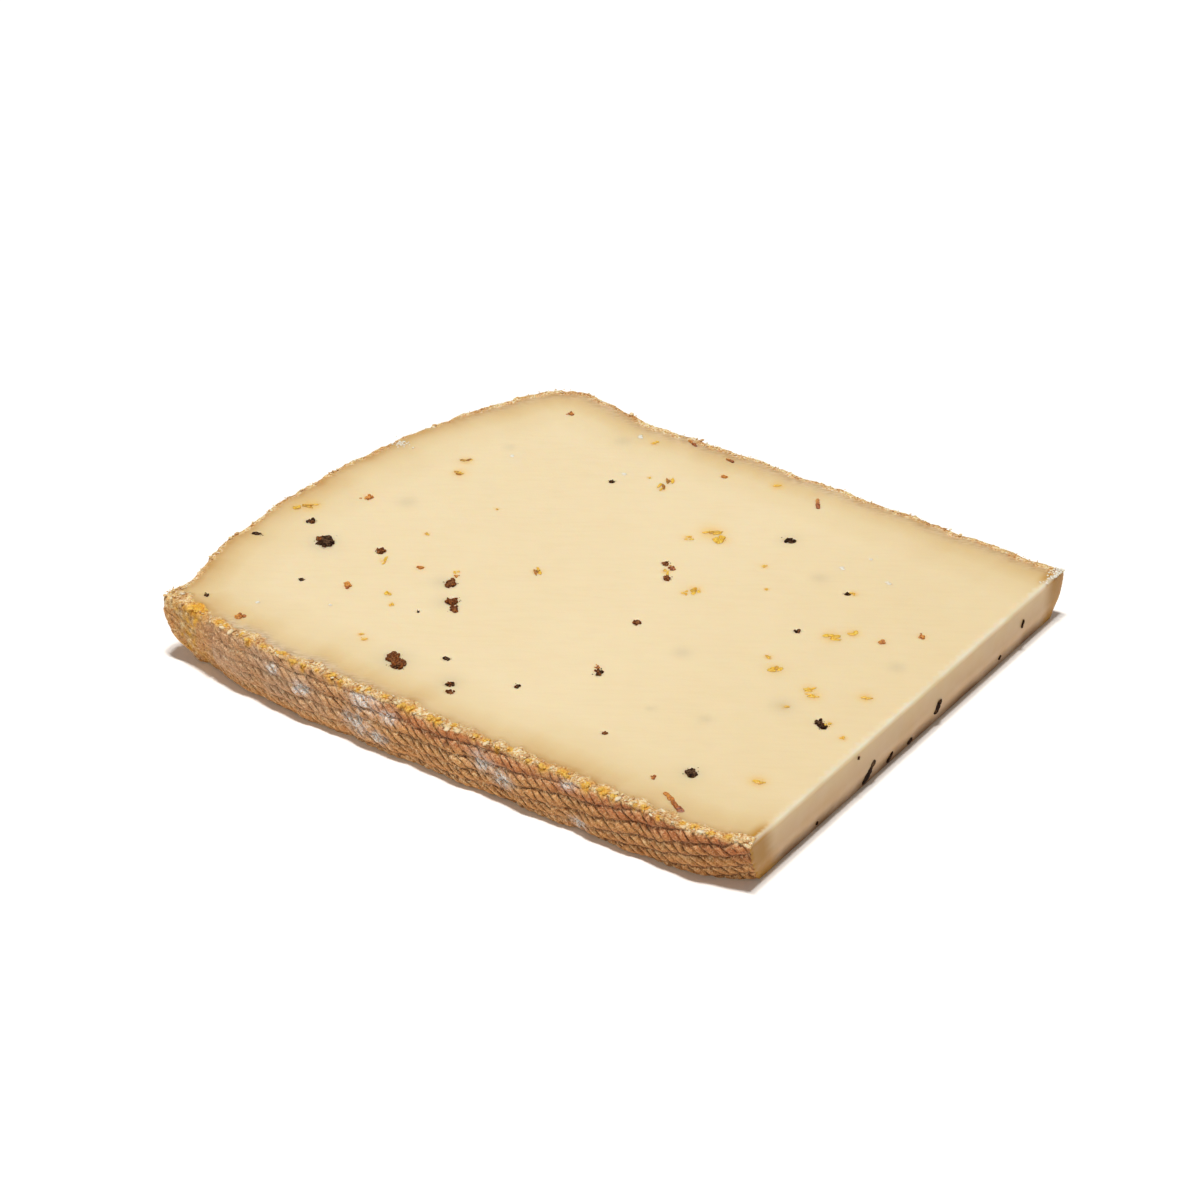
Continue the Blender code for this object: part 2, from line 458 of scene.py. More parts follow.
def imprint(along, up, seed):
    """The cloth's rope-like imprint: 1 on a cell's crown, a tone for each cell, the row and
    the place along it, which count one for each row and each cell."""
    flat = np.stack([along, up, np.full_like(along, seed)], 1)
    worn = 0.90 + 0.45 * noise(flat, 4.5, 15, 2)
    along = along + 0.55 * noise(flat, 4.0, 11) + 0.26 * noise(flat, 1.3, 12, 2)
    up = up + 0.40 * noise(flat, 6.0, 13) + 0.24 * noise(flat, 1.7, 14, 2)
    climb = ROW_CLIMB * along + ROW_BEND * np.clip(along - 60.0, 0.0, None) ** 2
    row = (up - climb) / ROW_PITCH + ROW_START
    number = np.floor(row).astype(np.int64)
    across = np.abs(2 * (row - number) - 1)
    slanted = (along + CELL_SLANT * up) / CELL_PITCH
    cell = slanted + np.mod(number * ROW_OFFSET, 1.0)
    which = np.floor(cell).astype(np.int64)
    within = np.abs(2 * (cell - which) - 1)
    crown = (1 - across**2.6) * (1 - 0.9 * within**2.6)
    relief = 1 - (1 - crown) * np.clip(worn, 0.15, 1.0)
    return relief, 0.5 + 0.5 * lattice(which, number, 9, 6), row, slanted


def wrinkles(along, up, seed):
    """Slanting, bark-like wrinkles where the imprint has faded."""
    flat = np.stack([(along - 0.45 * up) / 2.8, up + 0.45 * along, 0 * up + seed], 1)
    return np.clip(ridges(flat, 1.0, 21, 2) * 2.4, 0, 1)


def wall_relief(place, along, front, level):
    """How far the wall stands off its smooth form, and what the rind's colours go by."""
    up = place[:, 2]
    crown, tone, row, slanted = imprint(along, up, 0.0)
    folds = wrinkles(along, up, 1.0)
    faded = front * ramp(along - 1.2 * up, 15.0, -7.0) + (1 - front) * 0.4
    relief = crown * (1 - faded) + folds * faded
    rough = 0.14 * noise(place, 1.0, 31, 2) + 0.14 * noise(place, 3.5, 32)
    stand = GROOVE_DEPTH * (1 - 0.45 * faded) * (relief - 0.55) + rough
    fold = front * bell(place[:, 0] - FOLD_X + 0.25 * (11 - up), 0.8) * ramp(up, 2.5, 6.0)
    stand -= 0.9 * fold
    edge = ramp(level, 0.9, 1.0)
    stand = stand * (1 - 0.6 * edge) + 0.30 * noise(place, 0.9, 33, 2) * edge
    weave = ((row + 60.0) / ROW_SPAN, (slanted + 10.0) / CELL_SPAN, faded)
    return stand, relief, tone, weave


# ---------------------------------------------------------------- the body


def wall_grid():
    """The rind wall as a grid of positions (column, row, 3), with its relief and its tones."""
    points, ways, run = rind_columns()
    count = len(points)
    base, level = wall_base(points, ways, run)
    height = level * thickness(base[..., 0])
    place = np.concatenate([base, height[..., None]], 2).reshape(-1, 3)
    front = at_front(points[:, 0], points[:, 1]) * ramp(points[:, 0], -6.0, -2.0)
    along = np.where(front > 0.5, points[:, 0], run)
    levels = np.repeat(level, count, 0).ravel()
    stand, relief, tone, weave = wall_relief(
        place, np.repeat(along, WALL_ROWS), np.repeat(front, WALL_ROWS), levels
    )
    grid = base + ways[:, None, :] * stand.reshape(count, WALL_ROWS)[..., None]
    for end in (0, count - 1):
        grid[end, :, 0] = cut_x(grid[end, :, 1]) - cut_undercut(level[0])
    return points, run, np.concatenate([grid, height[..., None]], 2), relief, tone, weave


def cut_grid(wall):
    """The inner cut between the wall's last column (front) and its first (back)."""
    front, back = wall[-1], wall[0]
    count = int(WHEEL_HEIGHT / CUT_STEP)
    share = np.linspace(0, 1, count + 1)[1:-1]
    y = front[None, :, 1] + (back[None, :, 1] - front[None, :, 1]) * share[:, None]
    level = np.linspace(0, 1, WALL_ROWS)[None, :]
    x = cut_x(y) - cut_undercut(level)
    z = level * thickness(x)
    place = np.stack([x.ravel(), y.ravel(), z.ravel()], 1)
    x = x + 0.05 * noise(place, 5.0, 41, 2).reshape(x.shape) - 0.35 * ramp(level, 0.9, 1.0) ** 2
    return np.stack([x, y, z], 2)


def hex_points(low, high, spacing):
    rows = np.arange(low[1], high[1], spacing * math.sqrt(3) / 2)
    columns = np.arange(low[0], high[0], spacing)
    x, y = np.meshgrid(columns, rows)
    x[1::2] += spacing / 2
    return np.stack([x.ravel(), y.ravel()], 1)


def nearest(points, line):
    """The distance from each point to a line of points, and the number of the nearest."""
    tree = KDTree(len(line))
    for number, (x, y) in enumerate(line.tolist()):
        tree.insert((x, y, 0.0), number)
    tree.balance()
    found = [tree.find((x, y, 0.0)) for x, y in points.tolist()]
    return np.array([hit[2] for hit in found]), np.array([hit[1] for hit in found])


def outward(loop):
    along = np.roll(loop, -1, 0) - np.roll(loop, 1, 0)
    return np.stack([along[:, 1], -along[:, 0]], 1)


def fill(loop, rind, bands, discs=()):
    """Inner points and triangles of a flat cut face. bands are (spacing, reach from the rind);
    round discs the finest bit spacing is used."""
    low, high = loop.min(0), loop.max(0)
    normals = outward(loop)
    chosen = []
    for spacing, reach in [(BIT_SPACING, 0.0), *bands]:
        spots = hex_points(low, high, spacing)
        gap, number = nearest(spots, loop)
        within = ((spots - loop[number]) * normals[number]).sum(1) < 0
        spots = spots[within & (gap > 0.45 * spacing)]
        distance, _ = nearest(spots, rind)
        wanted = np.full(len(spots), bands[-1][0])
        for other, far in reversed(bands[:-1]):
            wanted[distance < far] = other
        for x, y, size, depth, _ in discs:
            near = np.hypot(spots[:, 0] - x, spots[:, 1] - y) < max(size, depth) / 2 + 0.8
            wanted[near] = np.minimum(wanted[near], BIT_SPACING)
        chosen.append(spots[np.isclose(wanted, spacing)])
    spots = np.concatenate(chosen)
    everything = np.concatenate([loop, spots])
    edges = [(i, (i + 1) % len(loop)) for i in range(len(loop))]
    made = delaunay_2d_cdt([Vector(p) for p in everything.tolist()], edges, [], 1, 1e-6)
    source = [origin[0] if origin else -1 for origin in made[3]]
    triangles = [[source[i] for i in face] for face in made[2]]
    return spots, [t for t in triangles if min(t) >= 0]


BIT_SPACING = 0.27
TOP_BANDS = ((0.30, 3.4), (0.62, 7.0), (1.2, 999.0))
LOW_BANDS = ((0.8, 3.0), (2.2, 999.0))


def band_width(points, run):
    """How wide the crumbly rind shows on the top cut at each rind column."""
    front = at_front(points[:, 0], points[:, 1])
    line = np.stack([run, 0 * run, 0 * run], 1)
    corner = bell(points[:, 0] + 3.0, 4.5) * bell(points[:, 1] - 2.0, 5.0)
    back = ramp(points[:, 1], 80.0, 100.0)
    width = 0.9 + 0.8 * front + 1.6 * corner + 0.4 * back
    return width * (1 + 0.30 * noise(line, 5.0, 51) + 0.2 * noise(line, 1.6, 52))


def disc_reach(x, y, disc):
    """0 at a bit's middle and 1 at its edge, in its own turned oval."""
    cx, cy, size_along, size_across, _ = disc
    along, across = turned(x - cx, y - cy, GRAIN)
    return np.hypot(along / (size_along / 2), across / (size_across / 2))


def top_dips(x, y):
    """How deep the top cut dips round the bits that lie in it."""
    dip = np.zeros(len(x))
    for disc in bit_discs():
        near = np.flatnonzero(np.hypot(x - disc[0], y - disc[1]) < max(disc[2:4]) + 1.0)
        reach = disc_reach(x[near], y[near], disc)
        edge = (reach - 1.0) * min(disc[2:4]) / 2
        dip[near] = np.maximum(dip[near], disc[4] * ramp(edge, 0.38, -0.12))
    return dip


def spots(x, y, places, spread=1.0):
    """Soft round spots, 1 in the middle, from places that start with x, y and a size."""
    found = np.zeros(len(x))
    for cx, cy, size, *_ in places:
        near = np.flatnonzero(np.hypot(x - cx, y - cy) < 3 * size * spread)
        distance = np.hypot(x[near] - cx, y[near] - cy)
        found[near] = np.maximum(found[near], bell(distance, size * spread))
    return found


def gold_spots():
    """Deep yellow spots along the front's top edge: x, y and size."""
    rng = np.random.default_rng(7)
    places = [(3.6, 3.4, 2.2)]
    for x in np.arange(9.0, LENGTH - 4, 3.1):
        size = rng.uniform(0.45, 1.15)
        x = x + rng.uniform(-1.1, 1.1)
        places.append((x, front_y(x) + rng.uniform(0.0, 1.3), size))
    return places


def rind_marks(vertices, inside_rind, top_gap):
    """Masks on the rind wall: bloom and the mauve and red zones."""
    x, y, z = vertices.T
    front = ramp(y, 9.0, 6.0)
    rough = noise(vertices, 1.1, 61, 2)
    bloom = np.zeros(len(x))
    for bx, bz, size in BLOOM:
        spot = bell(np.hypot((x - bx) / size, (z - bz) / (0.75 * size)), 1.0)
        bloom = np.maximum(bloom, spot * front)
    bloom = np.clip(bloom * (1.3 + 1.5 * rough), 0, 1)
    slow = noise(vertices, 5.0, 63, 2)
    fold = bell(x - FOLD_X + 0.25 * (11 - z), 1.1) * ramp(z, 2.0, 5.0)
    dull = ramp(x, 48.0, 24.0) * ramp(x, 5.0, 9.0) * ramp(z, 1.0, 4.0)
    mauve = front * np.maximum(0.75 * dull, fold)
    mauve = np.clip(mauve * (1 + 0.8 * slow) + 0.35 * (1 - front), 0, 1)
    red = front * ramp(x, 30.0, 60.0) * ramp(top_gap, 4.6, 2.4)
    red = np.clip(red * (0.9 + 0.6 * slow), 0, 1)
    return bloom, mauve, red


def build_body():
    points, run, wall, wall_height, wall_tone, wall_weave = wall_grid()
    ring = np.concatenate([wall, cut_grid(wall)])  # the whole outline, counter-clockwise
    columns, total = len(wall), len(ring)
    index = np.arange(total * WALL_ROWS).reshape(total, WALL_ROWS)
    after = np.roll(index, -1, 0)
    quads = np.concatenate(
        [
            np.stack([index[:, row], after[:, row], after[:, row + 1], index[:, row + 1]], 1)
            for row in range(WALL_ROWS - 1)
        ]
    )
    is_rind = np.tile(np.arange(total) < columns - 1, WALL_ROWS - 1)

    top_loop, low_loop = ring[:, -1, :2], ring[:, 0, :2]
    top_line = top_loop[:columns]
    top_spots, top_faces = fill(top_loop, top_line[::2], TOP_BANDS, bit_discs())
    low_spots, low_faces = fill(low_loop, low_loop[:columns:2], LOW_BANDS)
    vertices = np.concatenate(
        [
            ring.reshape(-1, 3),
            np.column_stack([top_spots, thickness(top_spots[:, 0])]),
            np.column_stack([low_spots, np.zeros(len(low_spots))]),
        ]
    )
    top_start = total * WALL_ROWS
    low_start = top_start + len(top_spots)
    top_index = np.concatenate([index[:, -1], np.arange(top_start, low_start)])
    low_index = np.concatenate([index[:, 0], np.arange(low_start, len(vertices))])
    faces = [
        *quads.tolist(),
        *top_index[np.array(top_faces)].tolist(),
        *low_index[np.array(low_faces)][:, ::-1].tolist(),
    ]
    material = np.zeros(len(faces), int)
    material[: len(is_rind)] = is_rind

    # where each vertex lies: on the rind wall, in from the rind, below the top cut
    x, y, z = vertices.T
    on_wall = np.zeros(len(vertices), bool)
    on_wall[: columns * WALL_ROWS] = True
    on_top = np.zeros(len(vertices), bool)
    on_top[top_index] = True
    top_gap = thickness(x) - z
    distance, number = nearest(vertices[:, :2], top_line)
    width = band_width(points, run)[number]
    ragged = noise(vertices, 1.0, 53, 2)
    corner = bell(x - 2.0, 5.0) * bell(y - 2.5, 5.0) * ramp(x, 9.0, 7.2)
    wall_reach = (top_gap * 3.2 + 0.4) * (1 - corner)
    reach = np.where(on_top, distance, np.where(on_wall, wall_reach, 99.0))
    band = ramp(reach + 0.7 * ragged, width + 0.5, width - 0.5)
    inside_rind = np.clip(distance - np.where(on_top, width, 0.0), 0, None)

    relief = np.ones(len(vertices))
    relief[: columns * WALL_ROWS] = wall_height
    tone = np.full(len(vertices), 0.5)
    tone[: columns * WALL_ROWS] = wall_tone

    crumbs = 0.26 * noise(vertices, 0.8, 54, 2) + 0.16 * noise(vertices, 2.2, 55)
    sag = -0.14 * ramp(distance, 1.5, 0.0)
    # The lip along the inner cut's top edge: a slightly raised edge, and the mask for the painted highlight
    # that the paste puts along it.
    lip_highlight = ramp(cut_x(y) - x, 1.1, 0.5) * ramp(top_gap, 0.6, 0.2)
    lip_highlight = lip_highlight * ramp(y, 1.0, 5.0) * (0.8 + 0.5 * noise(vertices, 3.0, 57, 2))
    lift = band * (crumbs + sag) + 0.05 * noise(vertices, 14.0, 56) * ~on_wall + 0.13 * lip_highlight
    lift -= 0.20 * ramp(cut_x(y) - x, 0.7, 0.0)
    lift -= top_dips(x, y)
    vertices[:, 2] += np.where(on_top, lift, 0.0)

    bloom, mauve, red = rind_marks(vertices, inside_rind, top_gap)
    gold = spots(x, y, gold_spots()) * ramp(top_gap, 2.2, 0.8)
    gold = np.clip(gold * (1.3 + 0.8 * noise(vertices, 0.9, 62, 2)), 0, 1)
    gold = np.where(on_wall, np.maximum(gold, corner * (0.45 + 1.2 * ragged)), gold)

    halo = spots(x, y, SEEDS, 0.75) * 0.9 + spots(x, y, CHILLI, 0.7) * 0.4
    sunk = spots(x, y, SUNK) * ramp(x, -20.0, -6.0)
    grey = ramp(inside_rind, 2.6, 0.2) * ramp(x, 6.0, 14.0) * ramp(x, 62.0, 30.0) * ramp(y, 12.0, 5.0)
    back_edge = ramp(distance, 4.5, 1.0) * ramp(y, 80.0, 98.0)
    grey = np.maximum(grey, 0.85 * back_edge)
    purple = bell(x - 99.0, 5.0) * ramp(y, WHEEL_HEIGHT - 4.5, WHEEL_HEIGHT - 1.5)
    ends = np.minimum(y - np.interp(z, wall[-1, :, 2], wall[-1, :, 1]), WHEEL_HEIGHT - y)
    amber = ramp(ends, 8.0, 3.5) * ramp(cut_x(y) - x, 3.0, 0.8)
    edge = ramp(distance, 4.0, 0.4) * ramp(y, 8.0, 20.0)
    amber = np.maximum(amber, 0.30 * edge * (1 + noise(vertices, 6.0, 58, 2)))

    on_cut = np.zeros(len(vertices))
    on_cut[columns * WALL_ROWS : total * WALL_ROWS] = 1.0
    on_cut[index[columns:, -1]] = 0.5
    on_cut[index[[0, columns - 1]].ravel()] = 1.0

    mesh = bpy.data.meshes.new("cheese")
    mesh.from_pydata(vertices.tolist(), [], faces)
    mesh.polygons.foreach_set("material_index", material)
    add_masks(mesh, "zones", inside_rind / 16.0, relief, band)
    add_masks(mesh, "sides", on_cut, z / thickness(x))
    weave = [np.zeros(len(vertices)) for _ in wall_weave]
    for whole, part in zip(weave, wall_weave):
        whole[: columns * WALL_ROWS] = part
    add_masks(mesh, "weave", *weave)
    add_masks(mesh, "marks", np.where(on_wall, bloom, halo), gold, np.where(on_wall, 0, sunk))
    rim_only = on_wall & ~on_top
    rim_only[index[[0, columns - 1]].ravel()] = False
    tints = ((red, amber), (mauve, np.maximum(grey, purple)), (tone, lip_highlight))
    add_masks(mesh, "tints", *(np.where(rim_only, rind, paste) for rind, paste in tints))
    return mesh, top_line, band_width(points, run)


def add_masks(mesh, name, *values):
    layer = mesh.attributes.new(name, "FLOAT_COLOR", "POINT")
    colours = np.ones((len(values[0]), 4), np.float32)
    for channel, value in enumerate(values):
        colours[:, channel] = np.clip(value, 0, 1)
    layer.data.foreach_set("color", colours.ravel())


# ---------------------------------------------------------------- bits and crumbs


def ball(level):
    bm = bmesh.new()
    bmesh.ops.create_icosphere(bm, subdivisions=level, radius=1.0)
    points = np.array([vertex.co[:] for vertex in bm.verts])
    faces = np.array([[vertex.index for vertex in face.verts] for face in bm.faces])
    bm.free()
    return points, faces


BALLS = {level: ball(level) for level in (1, 2, 3, 4)}


class Heap:
    """Lumps that are collected into one joined mesh."""

    def __init__(self, name, seed):
        self.name = name
        self.rng = np.random.default_rng(seed)
        self.points, self.faces, self.tones = [], [], []
        self.count = 0

    def lump(self, place, size, turn=0.0, rough=0.25, chips=3, level=2, tone=None, lean=None):
        """A rough lump with a few broken faces. size is along, across and up, in all."""
        rng = self.rng
        points, faces = BALLS[level]
        swell = 1 + rough * noise(points + rng.uniform(-99, 99, 3), 0.8, 71, 3)
        made = points * swell[:, None]
        broken = np.zeros(len(points))
        for _ in range(chips):
            way = rng.normal(size=3)
            way /= np.linalg.norm(way)
            over = np.clip(made @ way - rng.uniform(0.45, 0.8), 0, None)
            made = made - over[:, None] * way
            broken = np.maximum(broken, np.clip(over * 8, 0, 1))
        made = made * np.array(size) / 2
        if lean is not None:
            tilt = Vector((0, 0, 1)).rotation_difference(Vector(lean)).to_matrix()
            made = made @ np.array(tilt).T
        x, y = turned(made[:, 0], made[:, 1], -turn)
        made = np.column_stack([x, y, made[:, 2]]) + np.array(place)
        tones = np.ones((len(points), 4))
        tones[:, 0] = rng.uniform() if tone is None else tone
        tones[:, 1] = broken
        tones[:, 2] = rng.uniform()
        self.points.append(made)
        self.faces.append(faces + self.count)
        self.tones.append(tones)
        self.count += len(points)

    def piece(self, shift, material, slot):
        mesh = bpy.data.meshes.new(self.name)
        faces = np.concatenate(self.faces)
        mesh.from_pydata(np.concatenate(self.points).tolist(), [], faces.tolist())
        layer = mesh.attributes.new("tones", "FLOAT_COLOR", "POINT")
        layer.data.foreach_set("color", np.concatenate(self.tones).astype(np.float32).ravel())
        place_in_row(mesh, shift)
        mesh.shade_smooth()
        mesh.materials.append(material)
        piece = bpy.data.objects.new(self.name, mesh)
        bpy.context.scene.collection.objects.link(piece)
        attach(piece, "root")


def uneven_bit(heap, place, size, depth, tone, parts):
    """A bit with a broken outline: one main lump and smaller ones round it."""
    x, y = place
    along, across = size
    rise = 0.08 + 0.12 * min(size)
    up = 2 * (depth + 0.5 * rise)
    level = thickness(x) - depth + 0.5 * rise
    heap.lump((x, y, level), (along * 0.8, across * 0.8, up), GRAIN, 0.5, 6, 4 if min(size) > 1.8 else 3, tone)
    for number in range(parts):
        angle = 2 * math.pi * (number + heap.rng.uniform(-0.4, 0.4)) / parts
        far = heap.rng.uniform(0.5, 0.85)
        dx, dy = math.cos(angle) * far * along / 2, math.sin(angle) * far * across / 2
        dx, dy = turned(dx, dy, -GRAIN)
        share = heap.rng.uniform(0.28, 0.55)
        shape = (along * share, across * share, up * heap.rng.uniform(0.7, 1.05))
        turn = heap.rng.uniform(0, math.pi)
        own = tone + heap.rng.normal(0, 0.2)
        heap.lump((x + dx, y + dy, level), shape, turn, 0.5, 5, 3, own)


def pepper():
    """Cracked pepper in the top cut, on the inner cut and, out of sight, in the underside."""
    heap = Heap("pepper", 101)
    for number, (x, y, along, across) in enumerate(PEPPER):
        size = min(along, across)
        tone = BROWN_PEPPER.get(number, 0.2)
        uneven_bit(heap, (x, y), (along, across), 0.25, tone, 3 + int(1.6 * size))
        for _ in range(int(2.5 * size)):
            angle, far = heap.rng.uniform(0, 2 * math.pi), heap.rng.uniform(0.85, 1.5)
            grain = heap.rng.uniform(0.12, 0.3)
            px = x + math.cos(angle) * far * along / 2
            py = y + math.sin(angle) * far * across / 2
            heap.lump((px, py, thickness(px)), (grain, grain, 0.12), 0, 0.4, 1, 1, tone)
    for low_y, low_z, high_y, high_z, width in ON_CUT:
        lumps = 1 + int(math.hypot(high_y - low_y, high_z - low_z) / (0.2 * width))
        for share in np.linspace(0, 1, lumps + 1):
            y, z = low_y + (high_y - low_y) * share, low_z + (high_z - low_z) * share
            x = cut_x(y) - cut_undercut(z / THICK_AT_CUT)
            wide = width * heap.rng.uniform(0.75, 1.0)
            heap.lump((x - 0.12, y, z), (0.9, wide, wide), 0.0, 0.3, 2, 3, 0.1)
    for _ in range(26):
        x, y = heap.rng.uniform(4, 120), heap.rng.uniform(5, WHEEL_HEIGHT - 6)
        along, across = heap.rng.uniform(0.5, 2.2, 2)
        heap.lump((x, y, 0.12), (along, across, 0.42), heap.rng.uniform(0, 3), 0.35, 3, 2)
    return heap


def chilli():
    """Flakes and short sticks of dried chilli."""
    heap = Heap("chilli", 102)
    for x, y, along, across in CHILLI:
        size = min(along, across)
        uneven_bit(heap, (x, y), (along, across), 0.2, heap.rng.uniform(0.2, 0.9), 4)
        grain = 0.35 * size
        px, py = x + heap.rng.uniform(-0.7, 0.7) * along, y + heap.rng.uniform(-0.7, 0.7) * across
        heap.lump((px, py, thickness(px)), (grain, grain * 0.8, 0.15), 0, 0.4, 2, 2)
    for (x0, y0), (x1, y1), width in STICKS:
        length, angle = math.hypot(x1 - x0, y1 - y0), math.atan2(y1 - y0, x1 - x0)
        for share in np.linspace(0.12, 0.88, 6):
            x, y = x0 + (x1 - x0) * share, y0 + (y1 - y0) * share
            wide = width * (0.65 + 0.5 * share) * heap.rng.uniform(0.85, 1.15)
            shape = (0.34 * length, wide, 0.65)
            turn = angle + heap.rng.normal(0, 0.2)
            heap.lump((x, y, thickness(x) - 0.05), shape, turn, 0.5, 4, 3, 0.25 + 0.7 * share)
    for _ in range(14):
        x, y = heap.rng.uniform(4, 120), heap.rng.uniform(5, WHEEL_HEIGHT - 6)
        along, across = heap.rng.uniform(0.6, 1.6, 2)
        heap.lump((x, y, 0.1), (along, across, 0.36), heap.rng.uniform(0, 3), 0.4, 3, 2)
    return heap


def seeds():
    """Thin yellow and orange flakes of skin and seed, each a few torn scraps."""
    heap = Heap("seed_flakes", 103)
    rng = heap.rng
    for place_number, (x, y, along, across) in enumerate(SEEDS):
        size = math.sqrt(along * across)
        long_way = GRAIN if along > across else GRAIN + math.pi / 2
        brown = 0.45 if place_number in ORANGE_SEEDS else 0.0
        scraps = 2 + int(size * 1.6)
        for number in range(scraps):
            sx, sy = rng.uniform(-0.5, 0.5, 2) * (1 - 0.4 / scraps)
            dx, dy = turned(sx * along, sy * across, -GRAIN)
            length = max(along, across) * rng.uniform(0.45, 0.95)
            shape = length, min(along, across) * rng.uniform(0.35, 0.65), 0.2
            turn = long_way + rng.normal(0, 0.4)
            tone = brown + rng.uniform(0, 0.75)
            heap.lump((x + dx, y + dy, thickness(x + dx)), shape, turn, 0.5, 2, 2, tone)
        for _ in range(2):
            dx, dy = rng.normal(0, 0.5 * size, 2)
            grain = rng.uniform(0.08, 0.2)
            place = (x + dx, y + dy, thickness(x + dx))
            heap.lump(place, (grain, grain, 0.1), 0, 0.4, 1, 1, rng.uniform(0, 0.5))
    for _ in range(30):
        x, y = rng.uniform(4, 120), rng.uniform(5, WHEEL_HEIGHT - 6)
        along, across = rng.uniform(0.5, 1.8, 2)
        heap.lump((x, y, 0.02), (along, across, 0.16), rng.uniform(0, 3), 0.5, 2, 2)
    return heap


def crumbs(top_line, width):
    """Crumbs of rind along the top cut's edge: cream, tan and gold."""
    heap = Heap("rind_crumbs", 104)
    rng = heap.rng
    normals = -outward_line(top_line)
    front = at_front(top_line[:, 0], top_line[:, 1])
    step = np.linalg.norm(np.diff(top_line, axis=0, append=top_line[-1:]), axis=1)
    share = np.cumsum(step * (0.55 + front))
    golds = gold_spots()
    for gx, gy, gs in golds[1:]:
        for _ in range(3):
            dx, dy = rng.normal(0, 0.35 * gs, 2)
            size = gs * rng.uniform(0.7, 1.2)
            place = (gx + dx, max(front_y(gx) + 0.2, gy + dy), thickness(gx) + 0.02)
            heap.lump(place, (size, size * 0.8, size * 0.6), rng.uniform(0, 3), 0.5, 3, 2, 1.0)
    for _ in range(1300):
        column = int(np.searchsorted(share, rng.uniform(0, share[-1])))
        column = min(column, len(top_line) - 3)
        inward = max(-0.4, rng.uniform(-0.25, 0.95) * width[column])
        x, y = top_line[column] + normals[column] * inward
        size = min(1.3, 0.20 * math.exp(rng.normal(0.35, 0.62)))
        if front[column] < 0.5:
            size *= 0.8
        stretch = rng.uniform(0.6, 1.5)
        gold = max((math.exp(-(((x - gx) ** 2 + (y - gy) ** 2) / gs**2)) for gx, gy, gs in golds))
        tone = 1.0 if rng.uniform() < gold * 1.3 - 0.2 else rng.uniform(0.0, 0.8)
        shape = (size * stretch, size / stretch, size * 0.45)
        place = (x, y, thickness(x) - 0.02)
        heap.lump(place, shape, rng.uniform(0, math.pi), 0.4, 2, 1 if size < 0.5 else 2, tone)
    return heap


def outward_line(line):
    along = np.gradient(line, axis=0)
    ways = np.stack([along[:, 1], -along[:, 0]], 1)
    return ways / np.linalg.norm(ways, axis=1)[:, None]


def pale_bits():
    """White crumbs on the top cut, at the back corner and on the mould spot."""
    heap = Heap("pale_crumbs", 105)
    rng = heap.rng
    for x, y, along, across in PALE:
        for _ in range(3):
            dx, dy = rng.uniform(-0.35, 0.35, 2) * (along, across)
            shape = (along * 0.8, across * 0.8, 0.12)
            heap.lump((x + dx, y + dy, thickness(x)), shape, GRAIN, 0.4, 2, 2)
    for _ in range(70):
        y = WHEEL_HEIGHT - abs(rng.normal(0, 3.0))
        x = cut_x(y) - abs(rng.normal(0, 0.9)) + 0.1
        size = rng.uniform(0.25, 0.7)
        heap.lump((x, y, thickness(x) + 0.02), (size, size, size * 0.6), 0, 0.4, 2, 1)
    for _ in range(45):
        dx, dy = rng.normal(0, (0.9, 0.7))
        size = rng.uniform(0.25, 0.6)
        place = (-2.2 + dx, 73.0 + dy, thickness(-2.2) - 0.02)
        heap.lump(place, (size, size, size * 0.5), 0, 0.4, 1, 1)
    return heap


# ---------------------------------------------------------------- materials


